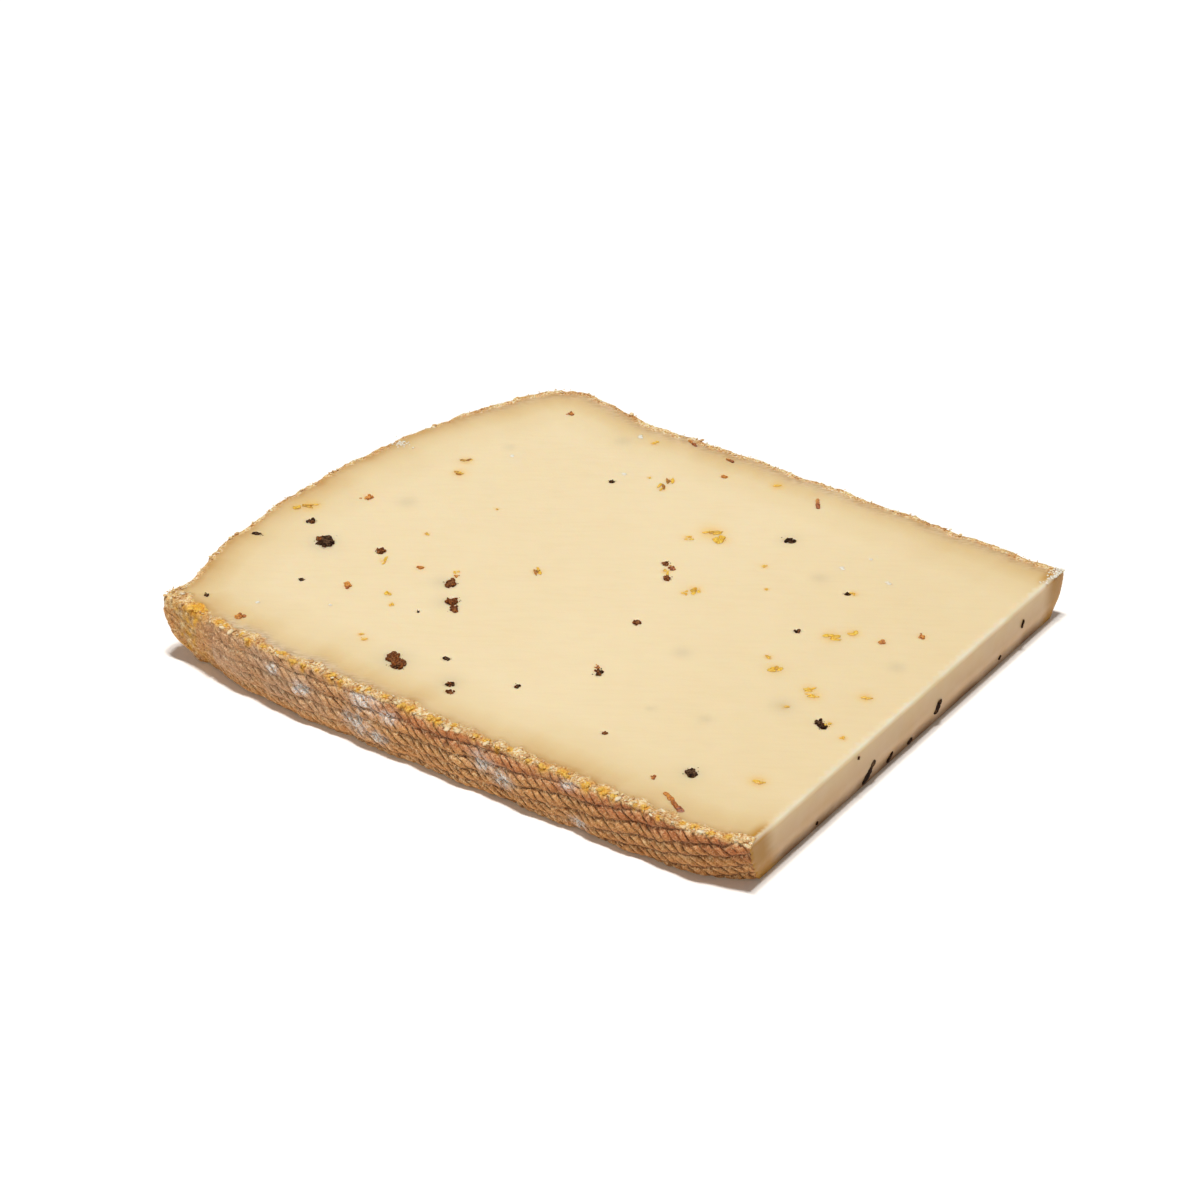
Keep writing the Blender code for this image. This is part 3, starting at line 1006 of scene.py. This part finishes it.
class Nodes:
    """Short ways to write a material's node tree. Texture coordinates are millimetres."""

    def __init__(self, name):
        self.material = bpy.data.materials.new(name)
        self.material.use_nodes = True
        self.tree = self.material.node_tree
        self.shader = self.tree.nodes["Principled BSDF"]
        place = self.tree.nodes.new("ShaderNodeTexCoord").outputs["Object"]
        self.place = self.vector("MULTIPLY", place, (1000.0, 1000.0, 1000.0))

    def put(self, socket, value):
        if isinstance(value, bpy.types.NodeSocket):
            self.tree.links.new(value, socket)
        else:
            socket.default_value = value

    def vector(self, operation, a, b):
        node = self.tree.nodes.new("ShaderNodeVectorMath")
        node.operation = operation
        self.put(node.inputs[0], a)
        self.put(node.inputs[1], b)
        return node.outputs["Vector"]

    def position(self, axis):
        split = self.tree.nodes.new("ShaderNodeSeparateXYZ")
        self.tree.links.new(self.place, split.inputs["Vector"])
        return split.outputs[axis]

    def math(self, operation, a, b=0.0, clamp=False):
        node = self.tree.nodes.new("ShaderNodeMath")
        node.operation = operation
        node.use_clamp = clamp
        self.put(node.inputs[0], a)
        self.put(node.inputs[1], b)
        return node.outputs[0]

    def noise(self, size, detail=2.0, rough=0.5, place=None, distortion=0.0):
        node = self.tree.nodes.new("ShaderNodeTexNoise")
        self.put(node.inputs["Vector"], place or self.place)
        node.inputs["Scale"].default_value = 1.0 / size
        node.inputs["Detail"].default_value = detail
        node.inputs["Roughness"].default_value = rough
        node.inputs["Distortion"].default_value = distortion
        return node.outputs["Fac"]

    def drawn_out(self, stretch, turn):
        """The place, squeezed along X after a turn so that noise comes out as streaks."""
        node = self.tree.nodes.new("ShaderNodeMapping")
        node.vector_type = "TEXTURE"
        node.inputs["Rotation"].default_value = turn
        node.inputs["Scale"].default_value = (stretch, 1.0, 1.0)
        self.put(node.inputs["Vector"], self.place)
        return node.outputs["Vector"]

    def line(self, value, thinness):
        """1 where the value is a whole number, thinning out to 0 halfway between two."""
        fold = self.math("PINGPONG", value, 0.5)
        near = self.math("SUBTRACT", 1.0, self.math("MULTIPLY", fold, 2.0))
        return self.math("POWER", near, thinness)

    def masks(self, name):
        node = self.tree.nodes.new("ShaderNodeAttribute")
        node.attribute_name = name
        split = self.tree.nodes.new("ShaderNodeSeparateColor")
        self.tree.links.new(node.outputs["Color"], split.inputs["Color"])
        return split.outputs

    def span(self, value, low, high, to_low=0.0, to_high=1.0):
        node = self.tree.nodes.new("ShaderNodeMapRange")
        node.interpolation_type = "SMOOTHSTEP"
        self.put(node.inputs["Value"], value)
        limits = zip(("From Min", "From Max", "To Min", "To Max"), (low, high, to_low, to_high))
        for socket, number in limits:
            self.put(node.inputs[socket], number)
        return node.outputs["Result"]

    def colours(self, value, *stops):
        node = self.tree.nodes.new("ShaderNodeValToRGB")
        while len(node.color_ramp.elements) < len(stops):
            node.color_ramp.elements.new(1.0)
        for element, (position, colour) in zip(node.color_ramp.elements, stops):
            element.position = position
            element.color = (*colour, 1.0)
        self.put(node.inputs["Fac"], value)
        return node.outputs["Color"]

    def mix(self, share, a, b, blend="MIX"):
        node = self.tree.nodes.new("ShaderNodeMix")
        node.data_type = "RGBA"
        node.blend_type = blend
        node.clamp_factor = True
        self.put(node.inputs[0], share)
        for socket, value in ((node.inputs[6], a), (node.inputs[7], b)):
            self.put(socket, (*value, 1.0) if isinstance(value, tuple) else value)
        return node.outputs[2]

    def bump(self, height, distance, strength=1.0, normal=None):
        node = self.tree.nodes.new("ShaderNodeBump")
        node.inputs["Strength"].default_value = strength
        node.inputs["Distance"].default_value = distance * MM
        self.put(node.inputs["Height"], height)
        if normal:
            self.put(node.inputs["Normal"], normal)
        return node.outputs["Normal"]

    def finish(self, **inputs):
        for name, value in inputs.items():
            self.put(self.shader.inputs[name.replace("_", " ")], value)
        return self.material


def crumb_colour(n, grain, gold):
    """The crumbly rind where the cut crosses it: cream and tan, deep yellow in the spots."""
    plain = n.colours(
        grain,
        (0.34, (0.34, 0.14, 0.045)),
        (0.43, (0.66, 0.37, 0.13)),
        (0.53, (0.80, 0.58, 0.27)),
        (0.64, (0.90, 0.80, 0.58)),
    )
    deep = n.colours(grain, (0.36, (0.60, 0.22, 0.01)), (0.60, (0.86, 0.46, 0.04)))
    patch = n.span(n.noise(2.2, 2.0), 0.42, 0.58)
    plain = n.mix(n.math("MULTIPLY", patch, 0.6), plain, (0.62, 0.36, 0.13), "MULTIPLY")
    return n.mix(gold, plain, deep)


def paste_material():
    n = Nodes("paste")
    inward, relief, band = n.masks("zones")
    halo, gold, sunk = n.masks("marks")
    amber, grey, lip_highlight = n.masks("tints")

    on_cut, level, unused = n.masks("sides")
    wobble = n.math("MULTIPLY", n.math("SUBTRACT", n.noise(5.0, 3.0), 0.5), 0.09)
    body = n.colours(
        n.math("ADD", inward, wobble),
        (0.00, (0.50, 0.29, 0.10)),
        (0.09, (0.615, 0.42, 0.195)),
        (0.22, (0.665, 0.485, 0.24)),
        (0.42, (0.725, 0.57, 0.325)),
        (0.85, (0.765, 0.62, 0.38)),
    )
    streaks = n.drawn_out(8.0, (0, 0, GRAIN))
    streak = n.noise(0.8, 2.0, 0.5, place=streaks)
    body = n.mix(n.span(streak, 0.40, 0.72, 0.0, 0.13), body, (0.68, 0.51, 0.27))
    body = n.mix(n.span(n.noise(16.0, 2.0), 0.4, 0.7, 0.0, 0.25), body, (0.78, 0.65, 0.41))
    body = n.mix(n.math("MULTIPLY", halo, 0.65), body, (0.78, 0.44, 0.07))
    body = n.mix(n.math("MULTIPLY", sunk, 0.27), body, (0.40, 0.34, 0.24))
    fleck = n.noise(0.32, 3.0, 0.6, place=n.drawn_out(5.0, (0, 0, GRAIN)))
    greyed = n.colours(
        fleck, (0.36, (0.30, 0.22, 0.15)), (0.46, (0.48, 0.39, 0.29)), (0.60, (0.72, 0.62, 0.46))
    )
    body = n.mix(n.math("MULTIPLY", grey, 0.5), body, greyed)
    # Painted light falloff: the top cut is painted darker and yellower towards the inner cut.
    painted_top_falloff = n.span(n.position(0), 5.0, 60.0, 0.0, 0.6)
    body = n.mix(painted_top_falloff, body, (0.93, 0.90, 0.83), "MULTIPLY")

    # The inner cut's colour by height, with painted shade: darkest at the underside and lighter upwards.
    side = n.colours(
        n.math("ADD", level, n.math("MULTIPLY", wobble, 1.5)),
        (0.00, (0.22, 0.11, 0.045)),
        (0.14, (0.42, 0.25, 0.12)),
        (0.32, (0.72, 0.475, 0.255)),
        (0.60, (0.84, 0.60, 0.355)),
        (0.85, (0.91, 0.70, 0.43)),
        (1.00, (0.92, 0.77, 0.50)),
    )
    # Painted shade: the inner cut is painted darker towards its front end.
    cut_front_shade = n.span(n.position(1), 35.0, 100.0, 1.0, 0.0)
    side = n.mix(cut_front_shade, side, (0.78, 0.72, 0.60), "MULTIPLY")
    side = n.mix(n.span(n.noise(7.0, 3.0), 0.35, 0.7, 0.0, 0.3), side, (0.66, 0.47, 0.30))
    body = n.mix(on_cut, body, side)
    body = n.mix(n.math("MULTIPLY", amber, 1.0), body, (0.44, 0.205, 0.015))
    # Painted highlight: a pale line along the inner cut's top edge.
    body = n.mix(n.math("MULTIPLY", lip_highlight, 0.55), body, (0.88, 0.85, 0.72))

    grain = n.noise(0.42, 3.0, 0.6)
    colour = n.mix(band, body, crumb_colour(n, grain, gold))
    fine = n.bump(streak, 0.025, 0.6)
    height = n.math("MULTIPLY", grain, n.math("ADD", n.math("MULTIPLY", band, 0.95), 0.05))
    return n.finish(
        Base_Color=colour,
        Roughness=n.span(n.noise(3.0, 3.0), 0.3, 0.7, 0.36, 0.50),
        Specular_IOR_Level=0.35,
        Normal=n.bump(height, 0.45, 0.8, fine),
        Subsurface_Weight=0.35,
        Subsurface_Radius=(1.0, 0.55, 0.22),
        Subsurface_Scale=0.0035,
    )


def rind_material():
    n = Nodes("rind")
    inward, relief, band = n.masks("zones")
    bloom, gold, spare = n.masks("marks")
    red, mauve, tone = n.masks("tints")
    grain = n.noise(0.55, 4.0, 0.7, distortion=1.0)
    fibres = n.noise(0.42, 3.0, 0.65, n.drawn_out(4.5, (0, WRINKLE_TURN, 0)), 0.8)
    crown = n.colours(
        grain,
        (0.33, (0.30, 0.10, 0.022)),
        (0.45, (0.60, 0.255, 0.064)),
        (0.57, (0.78, 0.40, 0.125)),
        (0.70, (0.95, 0.71, 0.36)),
    )
    crown = n.mix(n.span(tone, 0.0, 1.0, 0.0, 0.35), crown, (0.68, 0.29, 0.075))
    crown = n.mix(n.math("MULTIPLY", red, 0.5), crown, (0.72, 0.26, 0.07), "MULTIPLY")
    dull = n.colours(
        n.math("ADD", n.math("MULTIPLY", fibres, 0.6), n.math("MULTIPLY", grain, 0.4)),
        (0.34, (0.33, 0.17, 0.10)),
        (0.44, (0.53, 0.285, 0.15)),
        (0.55, (0.64, 0.375, 0.205)),
        (0.68, (0.88, 0.71, 0.50)),
    )
    crown = n.mix(mauve, crown, dull)
    # The dark colour painted into the imprint's grooves and creases as shade, also used for dark specks.
    groove = n.colours(grain, (0.35, (0.10, 0.028, 0.007)), (0.65, (0.36, 0.13, 0.036)))
    stored_row, stored_cell, faded = n.masks("weave")
    jag = n.math("MULTIPLY", n.math("SUBTRACT", n.noise(0.9, 3.0, 0.6), 0.5), 0.45)
    row = n.math("SUBTRACT", n.math("MULTIPLY", stored_row, ROW_SPAN), 60.0)
    shift = n.math("FRACT", n.math("MULTIPLY", n.math("FLOOR", row), ROW_OFFSET))
    cell = n.math("ADD", n.math("MULTIPLY", stored_cell, CELL_SPAN), shift)
    row, cell = n.math("ADD", row, jag), n.math("ADD", cell, jag)
    row_wear = n.span(n.noise(2.4, 3.0, 0.6), 0.36, 0.60, 0.1, 1.0)
    cell_wear = n.span(n.noise(1.7, 3.0, 0.6, n.drawn_out(1.0, (0, 0.9, 0))), 0.34, 0.58, 0.1, 1.0)
    row_wear = n.math("MAXIMUM", row_wear, n.span(n.position(0), 20.0, 55.0, 0.0, 0.85))
    row_line = n.math("MULTIPLY", n.line(row, 7.0), row_wear)
    cell_line = n.math("MULTIPLY", n.line(cell, 5.0), cell_wear)
    woven = n.math("SUBTRACT", 1.0, n.math("MULTIPLY", faded, 0.6))
    woven = n.math("MULTIPLY", woven, n.span(n.position(0), -50.0, 15.0, 0.6, 1.0))
    lines = n.math("MULTIPLY", n.math("MAXIMUM", row_line, cell_line), woven)
    # Painted light: each cell of the imprint is painted darker on its lower half and given a painted cream
    # highlight on its upper half, as if lit from above.
    height = n.math("FRACT", row)
    painted_cell_shade = n.math("MULTIPLY", n.span(height, 0.0, 0.5, 0.40, 0.0), woven)
    crown = n.mix(painted_cell_shade, crown, (0.62, 0.42, 0.26), "MULTIPLY")
    painted_cell_highlight = n.math("MULTIPLY", n.span(height, 0.45, 0.9, 0.0, 0.55), n.span(grain, 0.45, 0.62))
    crown = n.mix(painted_cell_highlight, crown, (0.95, 0.71, 0.42))
    # Random fine specks: dark ones, and cream ones painted as small highlights.
    fine = n.noise(0.26, 3.0, 0.65)
    crown = n.mix(n.span(fine, 0.30, 0.46, 0.55, 0.0), crown, groove)
    crown = n.mix(n.span(fine, 0.54, 0.68, 0.0, 0.6), crown, (0.97, 0.76, 0.46))
    # Painted shade: the rind is painted darker towards the inner cut.
    rind_end_shade = n.span(n.position(0), 5.0, 60.0)
    crown = n.mix(rind_end_shade, crown, (0.90, 0.84, 0.76), "MULTIPLY")
    # Painted shade in the creases of the wrinkles where the imprint has faded.
    crease_shade = n.span(relief, 0.05, 0.55, 0.6, 0.0)
    crown = n.mix(n.math("MULTIPLY", crease_shade, faded), crown, groove)
    # Painted shade: the imprint's lines are painted in the dark groove colour.
    colour = n.mix(n.span(lines, 0.16, 0.70, 0.0, 0.70), crown, groove)
    colour = n.mix(n.math("MULTIPLY", gold, 0.85), colour, crumb_colour(n, grain, gold))
    fibre = n.span(n.noise(0.7, 5.0, 0.75, distortion=2.0), 0.42, 0.52)
    pale = n.colours(grain, (0.36, (0.54, 0.46, 0.39)), (0.54, (0.90, 0.87, 0.82)))
    colour = n.mix(n.math("MULTIPLY", bloom, fibre), colour, pale)
    colour = n.mix(band, colour, crumb_colour(n, grain, gold))
    return n.finish(
        Base_Color=colour,
        Roughness=n.span(grain, 0.3, 0.7, 0.60, 0.82),
        Normal=n.bump(lines, -0.35, 1.0, n.bump(fibres, 0.3, 0.7, n.bump(grain, 0.35, 0.7))),
        Subsurface_Weight=0.08,
        Subsurface_Radius=(1.0, 0.5, 0.25),
        Subsurface_Scale=0.0012,
    )


def pepper_material():
    n = Nodes("pepper")
    tone, broken, other = n.masks("tones")
    grain = n.noise(0.32, 4.0, 0.7)
    husk = n.colours(
        grain, (0.38, (0.008, 0.004, 0.002)), (0.54, (0.032, 0.011, 0.004)), (0.68, (0.16, 0.065, 0.022))
    )
    brown = n.colours(
        grain, (0.36, (0.04, 0.008, 0.002)), (0.50, (0.17, 0.040, 0.007)), (0.64, (0.46, 0.16, 0.035))
    )
    colour = n.mix(n.span(tone, 0.35, 0.65), husk, brown)
    inner = n.colours(grain, (0.4, (0.10, 0.034, 0.010)), (0.64, (0.46, 0.28, 0.15)))
    colour = n.mix(n.math("MULTIPLY", broken, 0.30), colour, inner)
    return n.finish(
        Base_Color=colour,
        Roughness=n.span(grain, 0.3, 0.7, 0.6, 0.9),
        Specular_IOR_Level=0.1,
        Normal=n.bump(grain, 0.35, 1.0),
    )


def chilli_material():
    n = Nodes("chilli")
    tone, broken, other = n.masks("tones")
    grain = n.noise(0.4, 3.0, 0.6)
    deep = n.colours(grain, (0.36, (0.13, 0.025, 0.006)), (0.62, (0.46, 0.13, 0.025)))
    light = n.colours(grain, (0.36, (0.40, 0.11, 0.012)), (0.62, (0.72, 0.30, 0.04)))
    return n.finish(
        Base_Color=n.mix(n.span(tone, 0.3, 0.8), light, deep),
        Roughness=0.45,
        Normal=n.bump(grain, 0.2, 0.8),
        Subsurface_Weight=0.15,
        Subsurface_Radius=(1.0, 0.35, 0.12),
        Subsurface_Scale=0.0008,
    )


def seed_material():
    n = Nodes("seed_flakes")
    tone, broken, other = n.masks("tones")
    grain = n.noise(0.3, 3.0, 0.6)
    yellow = n.colours(grain, (0.36, (0.80, 0.33, 0.015)), (0.60, (0.93, 0.56, 0.07)))
    brown = n.colours(grain, (0.36, (0.22, 0.07, 0.010)), (0.60, (0.56, 0.22, 0.03)))
    return n.finish(
        Base_Color=n.mix(n.span(tone, 0.55, 0.9), yellow, brown),
        Roughness=0.4,
        Normal=n.bump(grain, 0.12, 0.7),
        Subsurface_Weight=0.3,
        Subsurface_Radius=(1.0, 0.5, 0.12),
        Subsurface_Scale=0.001,
    )


def crumb_material():
    n = Nodes("rind_crumbs")
    tone, broken, other = n.masks("tones")
    grain = n.noise(0.3, 3.0, 0.6)
    plain = n.colours(
        tone,
        (0.0, (0.50, 0.26, 0.10)),
        (0.3, (0.72, 0.45, 0.19)),
        (0.6, (0.80, 0.61, 0.34)),
        (0.8, (0.86, 0.75, 0.53)),
    )
    gold = n.colours(grain, (0.36, (0.66, 0.30, 0.02)), (0.62, (0.88, 0.54, 0.08)))
    colour = n.mix(n.span(tone, 0.88, 0.94), plain, gold)
    return n.finish(
        Base_Color=n.mix(n.span(grain, 0.3, 0.7, 0.25, 0.0), colour, (0.55, 0.33, 0.15)),
        Roughness=0.6,
        Normal=n.bump(grain, 0.15, 0.8),
        Subsurface_Weight=0.2,
        Subsurface_Radius=(1.0, 0.55, 0.22),
        Subsurface_Scale=0.001,
    )


def pale_material():
    n = Nodes("pale_crumbs")
    grain = n.noise(0.3, 3.0, 0.6)
    return n.finish(
        Base_Color=n.colours(grain, (0.36, (0.72, 0.62, 0.44)), (0.58, (0.90, 0.85, 0.71))),
        Roughness=0.7,
        Normal=n.bump(grain, 0.12, 0.7),
        Subsurface_Weight=0.2,
        Subsurface_Radius=(1.0, 0.7, 0.45),
        Subsurface_Scale=0.001,
    )


# ---------------------------------------------------------------- the set

VIEW_AZIMUTH = math.radians(34.46)
VIEW_ELEVATION = math.radians(32.5)
VIEW_TARGET = Vector((0.0028, -0.0064, 0.0117))
VIEW_DISTANCE = 0.6492
LENS = 105.0


def toward(azimuth, elevation):
    """The way from the part to a viewer or a light; azimuth 0 is in front, turning to +X."""
    flat = math.cos(elevation)
    return Vector((math.sin(azimuth) * flat, -math.cos(azimuth) * flat, math.sin(elevation)))


def add_camera():
    data = bpy.data.cameras.new("camera")
    data.lens = LENS
    data.sensor_width = 36.0
    data.clip_start = 0.01
    camera = bpy.data.objects.new("camera", data)
    way = toward(VIEW_AZIMUTH, VIEW_ELEVATION)
    camera.location = VIEW_TARGET + way * VIEW_DISTANCE
    camera.rotation_euler = (-way).to_track_quat("-Z", "Y").to_euler()
    bpy.context.scene.collection.objects.link(camera)
    bpy.context.scene.camera = camera


def add_light(name, azimuth, elevation, distance, size, power):
    data = bpy.data.lights.new(name, "AREA")
    data.shape = "DISK"
    data.size = size
    data.energy = power
    light = bpy.data.objects.new(name, data)
    way = toward(math.radians(azimuth), math.radians(elevation))
    light.location = way * distance
    light.rotation_euler = (-way).to_track_quat("-Z", "Y").to_euler()
    bpy.context.scene.collection.objects.link(light)


def add_floor():
    mesh = bpy.data.meshes.new("floor")
    bm = bmesh.new()
    bmesh.ops.create_grid(bm, x_segments=1, y_segments=1, size=3.0)
    bm.to_mesh(mesh)
    bm.free()
    floor = bpy.data.objects.new("floor", mesh)
    floor.location.z = -0.0002
    material = bpy.data.materials.new("floor")
    material.use_nodes = True
    shader = material.node_tree.nodes["Principled BSDF"]
    shader.inputs["Base Color"].default_value = (0.92, 0.90, 0.865, 1.0)
    shader.inputs["Roughness"].default_value = 0.9
    # The floor glows faintly orange: painted warm light that browns the shadows near the cheese.
    shader.inputs["Emission Color"].default_value = (1.0, 0.70, 0.45, 1.0)
    shader.inputs["Emission Strength"].default_value = 0.06
    mesh.materials.append(material)
    bpy.context.scene.collection.objects.link(floor)


def add_set():
    add_camera()
    add_floor()
    add_light("left key", -45.0, 85.5, 3.0, 0.3, 46.0)
    add_light("right key", 45.0, 85.5, 3.0, 0.3, 46.0)
    add_light("fill", -20.0, 8.0, 2.0, 0.5, 3.8)
    world = bpy.data.worlds.new("world")
    world.use_nodes = True
    world.node_tree.nodes["Background"].inputs["Color"].default_value = (1, 1, 1, 1)
    world.node_tree.nodes["Background"].inputs["Strength"].default_value = 0.18
    bpy.context.scene.world = world
    bpy.context.scene.view_settings.view_transform = "Standard"


# ---------------------------------------------------------------- putting it together


def place_in_row(mesh, shift):
    """Turns plan millimetres into the row's metres."""
    points = np.empty(len(mesh.vertices) * 3, np.float32)
    mesh.vertices.foreach_get("co", points)
    points = (points.reshape(-1, 3) + shift) * MM
    mesh.vertices.foreach_set("co", points.astype(np.float32).ravel())
    mesh.update()


def plan_shift():
    """From the slab's plan to the middle of its footprint, where the row has its origin."""
    base, _ = wall_base(*rind_columns())
    base = base.reshape(-1, 2)
    node_low, node_high = (np.array(corner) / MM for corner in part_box(NODE))
    middle = (node_low + node_high)[:2] / 2
    return np.array([*(middle - (base.min(0) + base.max(0)) / 2), 0.0])


def main():
    shift = plan_shift()
    mesh, top_line, width = build_body()
    place_in_row(mesh, shift)
    mesh.shade_smooth()
    mesh.materials.append(paste_material())
    mesh.materials.append(rind_material())
    body = bpy.data.objects.new("cheese", mesh)
    bpy.context.scene.collection.objects.link(body)
    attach(body, "root")
    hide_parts(NODE)
    pepper().piece(shift, pepper_material(), "spice")
    chilli().piece(shift, chilli_material(), "spice")
    seeds().piece(shift, seed_material(), "spice")
    crumbs(top_line, width).piece(shift, crumb_material(), "rind")
    pale_bits().piece(shift, pale_material(), "paste")
    print("shift", shift)
    for item in bpy.data.meshes:
        print(item.name, sum(len(p.vertices) - 2 for p in item.polygons))


main()
add_set()
